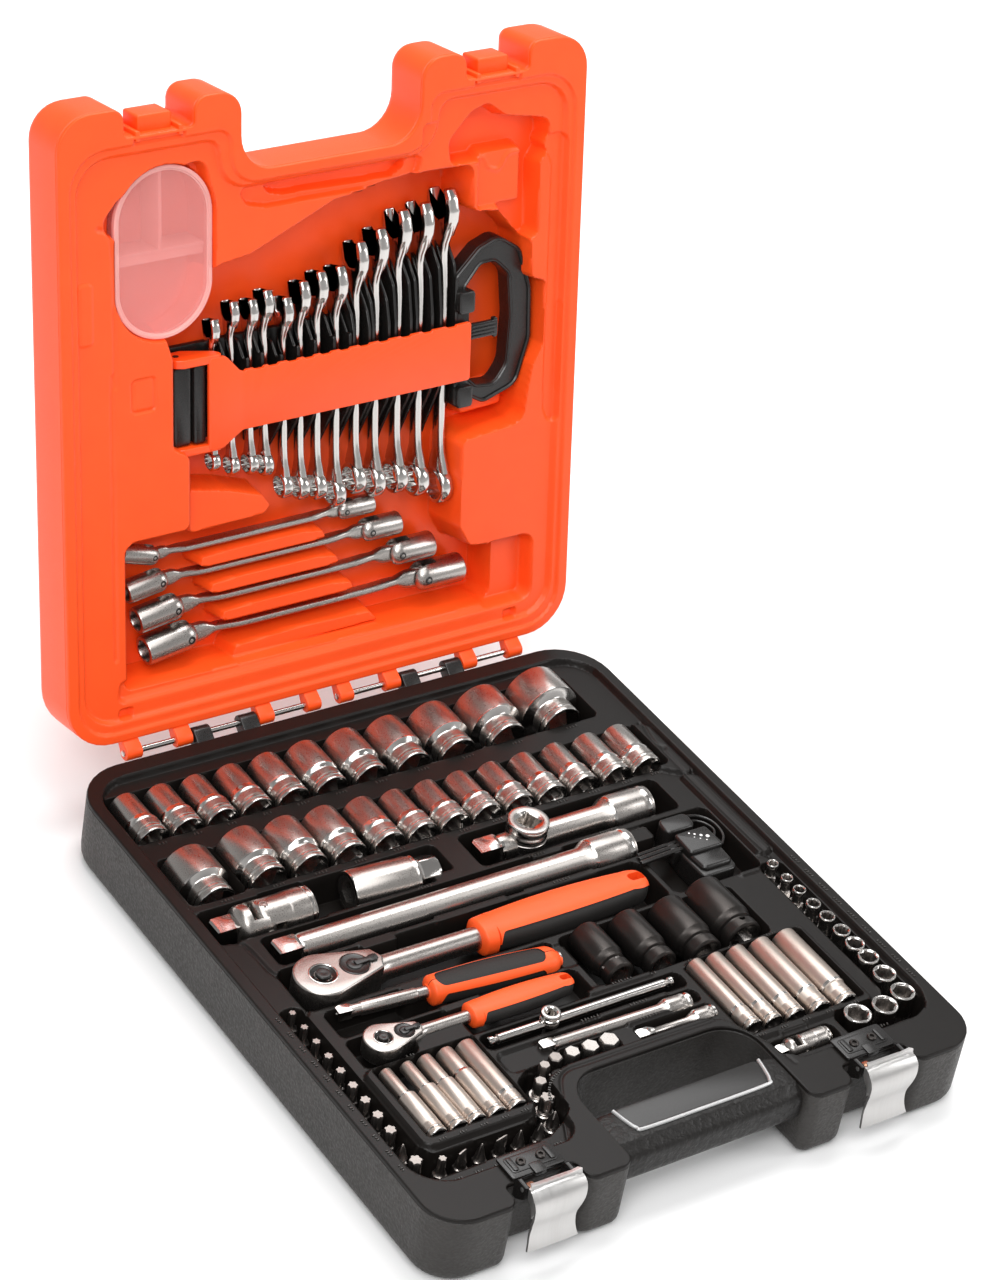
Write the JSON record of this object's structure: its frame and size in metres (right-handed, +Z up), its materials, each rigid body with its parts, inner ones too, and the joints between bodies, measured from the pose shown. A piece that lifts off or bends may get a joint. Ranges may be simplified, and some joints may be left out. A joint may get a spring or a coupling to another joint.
{
  "type": "socket wrench set in case",
  "caption": "Open carrying case with a hinged lid, draw latches and a carrying grip, its moulded trays holding sockets, ratchets, extensions, flexible-head wrenches and a wrench rack.",
  "frame": {"origin": "on the table, under the middle of the base's rim rectangle", "axes": "+Z up, +Y from the handle to the lid's hinge, +X to the right for someone facing the handle"},
  "size_m": [0.376, 0.5553, 0.4389],
  "materials": {
    "base_plastic": "moulded black plastic, fine grain",
    "grip_plastic": "soft black grip, leather grain",
    "lid_orange": "moulded orange plastic, satin",
    "strap_orange": "smooth orange plastic",
    "rack_black": "moulded black plastic",
    "clear_plastic": "clear plastic",
    "chrome": "satin chrome plate",
    "latch_steel": "brushed steel",
    "black_steel": "blackened steel",
    "grip_orange": "orange and black two-part grip"
  },
  "bodies": {
    "root": {"base_shell": "base_plastic", "base_tray": "base_plastic", "handle_grip": "grip_plastic", "hinge_pin_left": "latch_steel", "hinge_pin_right": "latch_steel", "latch_bracket_left": "base_plastic", "latch_bracket_right": "base_plastic"},
    "lid": {"lid_shell": "lid_orange", "lid_liner": "lid_orange"},
    "latch_link_left": {"latch_link_left": "latch_steel"},
    "latch_lever_left": {"latch_lever_left": "latch_steel"},
    "latch_link_right": {"latch_link_right": "latch_steel"},
    "latch_lever_right": {"latch_lever_right": "latch_steel"},
    "socket_01": {"socket_half_01": "chrome"},
    "socket_02": {"socket_half_02": "chrome"},
    "socket_03": {"socket_half_03": "chrome"},
    "socket_04": {"socket_half_04": "chrome"},
    "socket_05": {"socket_half_05": "chrome"},
    "socket_06": {"socket_half_06": "chrome"},
    "socket_07": {"socket_half_07": "chrome"},
    "socket_08": {"socket_half_08": "chrome"},
    "socket_09": {"socket_half_09": "chrome"},
    "socket_10": {"socket_half_10": "chrome"},
    "socket_11": {"socket_half_11": "chrome"},
    "extension_long": {"extension_250": "chrome"},
    "t_handle": {"extension_125": "chrome"},
    "t_handle_slider": {"t_slider_half": "chrome"},
    "small_t_bar": {"t_bar_quarter": "chrome"},
    "small_t_slider": {"t_slider_quarter": "chrome"},
    "large_ratchet": {"ratchet_half": "chrome", "ratchet_half_grip": "grip_orange"},
    "large_ratchet_drive": {"ratchet_half_anvil": "chrome"},
    "large_ratchet_button": {"ratchet_half_button": "black_steel"},
    "large_ratchet_selector": {"ratchet_half_selector": "black_steel"},
    "small_ratchet": {"ratchet_quarter": "chrome", "ratchet_quarter_grip": "grip_orange"},
    "small_ratchet_drive": {"ratchet_quarter_anvil": "chrome"},
    "small_ratchet_selector": {"ratchet_quarter_selector": "black_steel"},
    "large_joint": {"joint_half_male_fork": "chrome"},
    "large_joint_block": {"joint_half_block": "chrome"},
    "large_joint_driven_fork": {"joint_half_female_fork": "chrome"},
    "small_joint": {"joint_quarter_male_fork": "chrome"},
    "small_joint_block": {"joint_quarter_block": "chrome"},
    "small_joint_driven_fork": {"joint_quarter_female_fork": "chrome"},
    "wrench_rack": {"wrench_rack": "rack_black"},
    "rack_strap": {"rack_strap": "strap_orange"},
    "parts_box": {"parts_box": "clear_plastic"},
    "parts_box_cover": {"parts_box_cover": "clear_plastic"},
    "flex_wrench_1": {"flex_wrench_1": "chrome"},
    "flex_wrench_1_head_left": {"flex_wrench_1_head_left": "chrome"},
    "flex_wrench_1_head_right": {"flex_wrench_1_head_right": "chrome"},
    "flex_wrench_2": {"flex_wrench_2": "chrome"},
    "flex_wrench_2_head_left": {"flex_wrench_2_head_left": "chrome"},
    "flex_wrench_2_head_right": {"flex_wrench_2_head_right": "chrome"},
    "flex_wrench_3": {"flex_wrench_3": "chrome"},
    "flex_wrench_3_head_left": {"flex_wrench_3_head_left": "chrome"},
    "flex_wrench_3_head_right": {"flex_wrench_3_head_right": "chrome"},
    "flex_wrench_4": {"flex_wrench_4": "chrome"},
    "flex_wrench_4_head_left": {"flex_wrench_4_head_left": "chrome"},
    "flex_wrench_4_head_right": {"flex_wrench_4_head_right": "chrome"}
  },
  "joints": [
    {"name": "lid_hinge", "type": "hinge", "parent": "root", "child": "lid", "pos_m": [0, 0.211, 0.048], "axis": [-1, 0, 0], "range_deg": [-102.5, 0]},
    {"name": "latch_link_left_hinge", "type": "hinge", "parent": "root", "child": "latch_link_left", "pos_m": [-0.116, -0.204, 0.049], "axis": [-1, 0, 0], "range_deg": [0, 60]},
    {"name": "latch_lever_left_hinge", "type": "hinge", "parent": "latch_link_left", "child": "latch_lever_left", "pos_m": [-0.116, -0.211, 0.0505], "axis": [-1, 0, 0], "range_deg": [0, 26]},
    {"name": "latch_link_right_hinge", "type": "hinge", "parent": "root", "child": "latch_link_right", "pos_m": [0.116, -0.204, 0.049], "axis": [-1, 0, 0], "range_deg": [0, 60]},
    {"name": "latch_lever_right_hinge", "type": "hinge", "parent": "latch_link_right", "child": "latch_lever_right", "pos_m": [0.116, -0.211, 0.0505], "axis": [-1, 0, 0], "range_deg": [0, 26]},
    {"name": "socket_01_lift", "type": "slide", "parent": "root", "child": "socket_01", "axis": [0, 0, 1], "range_m": [0, 0.06]},
    {"name": "socket_02_lift", "type": "slide", "parent": "root", "child": "socket_02", "axis": [0, 0, 1], "range_m": [0, 0.06]},
    {"name": "socket_03_lift", "type": "slide", "parent": "root", "child": "socket_03", "axis": [0, 0, 1], "range_m": [0, 0.06]},
    {"name": "socket_04_lift", "type": "slide", "parent": "root", "child": "socket_04", "axis": [0, 0, 1], "range_m": [0, 0.06]},
    {"name": "socket_05_lift", "type": "slide", "parent": "root", "child": "socket_05", "axis": [0, 0, 1], "range_m": [0, 0.06]},
    {"name": "socket_06_lift", "type": "slide", "parent": "root", "child": "socket_06", "axis": [0, 0, 1], "range_m": [0, 0.06]},
    {"name": "socket_07_lift", "type": "slide", "parent": "root", "child": "socket_07", "axis": [0, 0, 1], "range_m": [0, 0.06]},
    {"name": "socket_08_lift", "type": "slide", "parent": "root", "child": "socket_08", "axis": [0, 0, 1], "range_m": [0, 0.06]},
    {"name": "socket_09_lift", "type": "slide", "parent": "root", "child": "socket_09", "axis": [0, 0, 1], "range_m": [0, 0.06]},
    {"name": "socket_10_lift", "type": "slide", "parent": "root", "child": "socket_10", "axis": [0, 0, 1], "range_m": [0, 0.06]},
    {"name": "socket_11_lift", "type": "slide", "parent": "root", "child": "socket_11", "axis": [0, 0, 1], "range_m": [0, 0.06]},
    {"name": "extension_long_lift", "type": "slide", "parent": "root", "child": "extension_long", "axis": [0, 0, 1], "range_m": [0, 0.06]},
    {"name": "t_handle_lift", "type": "slide", "parent": "root", "child": "t_handle", "axis": [0, 0, 1], "range_m": [0, 0.06]},
    {"name": "t_handle_slider_slide", "type": "slide", "parent": "t_handle", "child": "t_handle_slider", "axis": [1, 0, 0], "range_m": [-0.007, 0.041]},
    {"name": "small_t_bar_lift", "type": "slide", "parent": "root", "child": "small_t_bar", "axis": [0, 0, 1], "range_m": [0, 0.06]},
    {"name": "small_t_slider_slide", "type": "slide", "parent": "small_t_bar", "child": "small_t_slider", "axis": [1, 0, 0], "range_m": [-0.034, 0.077]},
    {"name": "large_ratchet_lift", "type": "slide", "parent": "root", "child": "large_ratchet", "axis": [0, 0, 1], "range_m": [0, 0.06]},
    {"name": "large_ratchet_drive_spin", "type": "hinge", "parent": "large_ratchet", "child": "large_ratchet_drive", "pos_m": [-0.141, -0.0127, 0.051], "axis": [0, 0, 1], "continuous": true},
    {"name": "large_ratchet_button_press", "type": "slide", "parent": "large_ratchet_drive", "child": "large_ratchet_button", "axis": [0, 0, -1], "range_m": [0, 0.002], "stiffness_N_per_m": 500},
    {"name": "large_ratchet_selector_turn", "type": "hinge", "parent": "large_ratchet", "child": "large_ratchet_selector", "pos_m": [-0.12, -0.0127, 0.051], "axis": [0, 0, 1], "range_deg": [-35, 35]},
    {"name": "small_ratchet_lift", "type": "slide", "parent": "root", "child": "small_ratchet", "axis": [0, 0, 1], "range_m": [0, 0.06]},
    {"name": "small_ratchet_drive_spin", "type": "hinge", "parent": "small_ratchet", "child": "small_ratchet_drive", "pos_m": [-0.1385, -0.0727, 0.0516], "axis": [0, 0, 1], "continuous": true},
    {"name": "small_ratchet_selector_turn", "type": "hinge", "parent": "small_ratchet", "child": "small_ratchet_selector", "pos_m": [-0.1245, -0.0727, 0.0516], "axis": [0, 0, 1], "range_deg": [-35, 35]},
    {"name": "large_joint_lift", "type": "slide", "parent": "root", "child": "large_joint", "axis": [0, 0, 1], "range_m": [0, 0.06]},
    {"name": "large_joint_pitch", "type": "hinge", "parent": "large_joint", "child": "large_joint_block", "pos_m": [-0.142, 0.0525, 0.0395], "axis": [0, -1, 0], "range_deg": [0, 70]},
    {"name": "large_joint_yaw", "type": "hinge", "parent": "large_joint_block", "child": "large_joint_driven_fork", "pos_m": [-0.142, 0.0525, 0.0395], "axis": [0, 0, 1], "range_deg": [-4, 4]},
    {"name": "small_joint_lift", "type": "slide", "parent": "root", "child": "small_joint", "axis": [0, 0, 1], "range_m": [0, 0.06]},
    {"name": "small_joint_pitch", "type": "hinge", "parent": "small_joint", "child": "small_joint_block", "pos_m": [0.088, -0.168, 0.0414], "axis": [0, -1, 0], "range_deg": [0, 70]},
    {"name": "small_joint_yaw", "type": "hinge", "parent": "small_joint_block", "child": "small_joint_driven_fork", "pos_m": [0.088, -0.168, 0.0414], "axis": [0, 0, 1], "range_deg": [-3, 3]},
    {"name": "wrench_rack_lift", "type": "slide", "parent": "lid", "child": "wrench_rack", "axis": [0, -0.9763, 0.2164], "range_m": [0, 0.05]},
    {"name": "rack_strap_hinge", "type": "hinge", "parent": "wrench_rack", "child": "rack_strap", "pos_m": [-0.0965, 0.275, 0.24891], "axis": [0, -0.2164, -0.9763], "range_deg": [0, 110]},
    {"name": "parts_box_lift", "type": "slide", "parent": "lid", "child": "parts_box", "axis": [0, -0.9763, 0.2164], "range_m": [0, 0.05]},
    {"name": "parts_box_cover_lift", "type": "slide", "parent": "parts_box", "child": "parts_box_cover", "axis": [0, -0.9763, 0.2164], "range_m": [0, 0.03]},
    {"name": "flex_wrench_1_lift", "type": "slide", "parent": "lid", "child": "flex_wrench_1", "axis": [0, -0.9763, 0.2164], "range_m": [0, 0.05]},
    {"name": "flex_wrench_1_head_left_tilt", "type": "hinge", "parent": "flex_wrench_1", "child": "flex_wrench_1_head_left", "pos_m": [-0.111, 0.25997, 0.1534], "axis": [0, -0.9763, 0.2164], "range_deg": [-90, 30]},
    {"name": "flex_wrench_1_head_right_tilt", "type": "hinge", "parent": "flex_wrench_1", "child": "flex_wrench_1_head_right", "pos_m": [0.025, 0.25997, 0.1534], "axis": [0, -0.9763, 0.2164], "range_deg": [-12, 90]},
    {"name": "flex_wrench_2_lift", "type": "slide", "parent": "lid", "child": "flex_wrench_2", "axis": [0, -0.9763, 0.2164], "range_m": [0, 0.05]},
    {"name": "flex_wrench_2_head_left_tilt", "type": "hinge", "parent": "flex_wrench_2", "child": "flex_wrench_2_head_left", "pos_m": [-0.1065, 0.25619, 0.13631], "axis": [0, -0.9763, 0.2164], "range_deg": [-24, 10]},
    {"name": "flex_wrench_2_head_right_tilt", "type": "hinge", "parent": "flex_wrench_2", "child": "flex_wrench_2_head_right", "pos_m": [0.0435, 0.25619, 0.13631], "axis": [0, -0.9763, 0.2164], "range_deg": [-14, 32]},
    {"name": "flex_wrench_3_lift", "type": "slide", "parent": "lid", "child": "flex_wrench_3", "axis": [0, -0.9763, 0.2164], "range_m": [0, 0.05]},
    {"name": "flex_wrench_3_head_left_tilt", "type": "hinge", "parent": "flex_wrench_3", "child": "flex_wrench_3_head_left", "pos_m": [-0.0965, 0.25186, 0.11679], "axis": [0, -0.9763, 0.2164], "range_deg": [-10, 6]},
    {"name": "flex_wrench_3_head_right_tilt", "type": "hinge", "parent": "flex_wrench_3", "child": "flex_wrench_3_head_right", "pos_m": [0.0655, 0.25186, 0.11679], "axis": [0, -0.9763, 0.2164], "range_deg": [-10, 42]},
    {"name": "flex_wrench_4_lift", "type": "slide", "parent": "lid", "child": "flex_wrench_4", "axis": [0, -0.9763, 0.2164], "range_m": [0, 0.05]},
    {"name": "flex_wrench_4_head_left_tilt", "type": "hinge", "parent": "flex_wrench_4", "child": "flex_wrench_4_head_left", "pos_m": [-0.088, 0.24731, 0.09628], "axis": [0, -0.9763, 0.2164], "range_deg": [-6, 22]},
    {"name": "flex_wrench_4_head_right_tilt", "type": "hinge", "parent": "flex_wrench_4", "child": "flex_wrench_4_head_right", "pos_m": [0.085, 0.24731, 0.09628], "axis": [0, -0.9763, 0.2164], "range_deg": [-30, 20]}
  ]
}
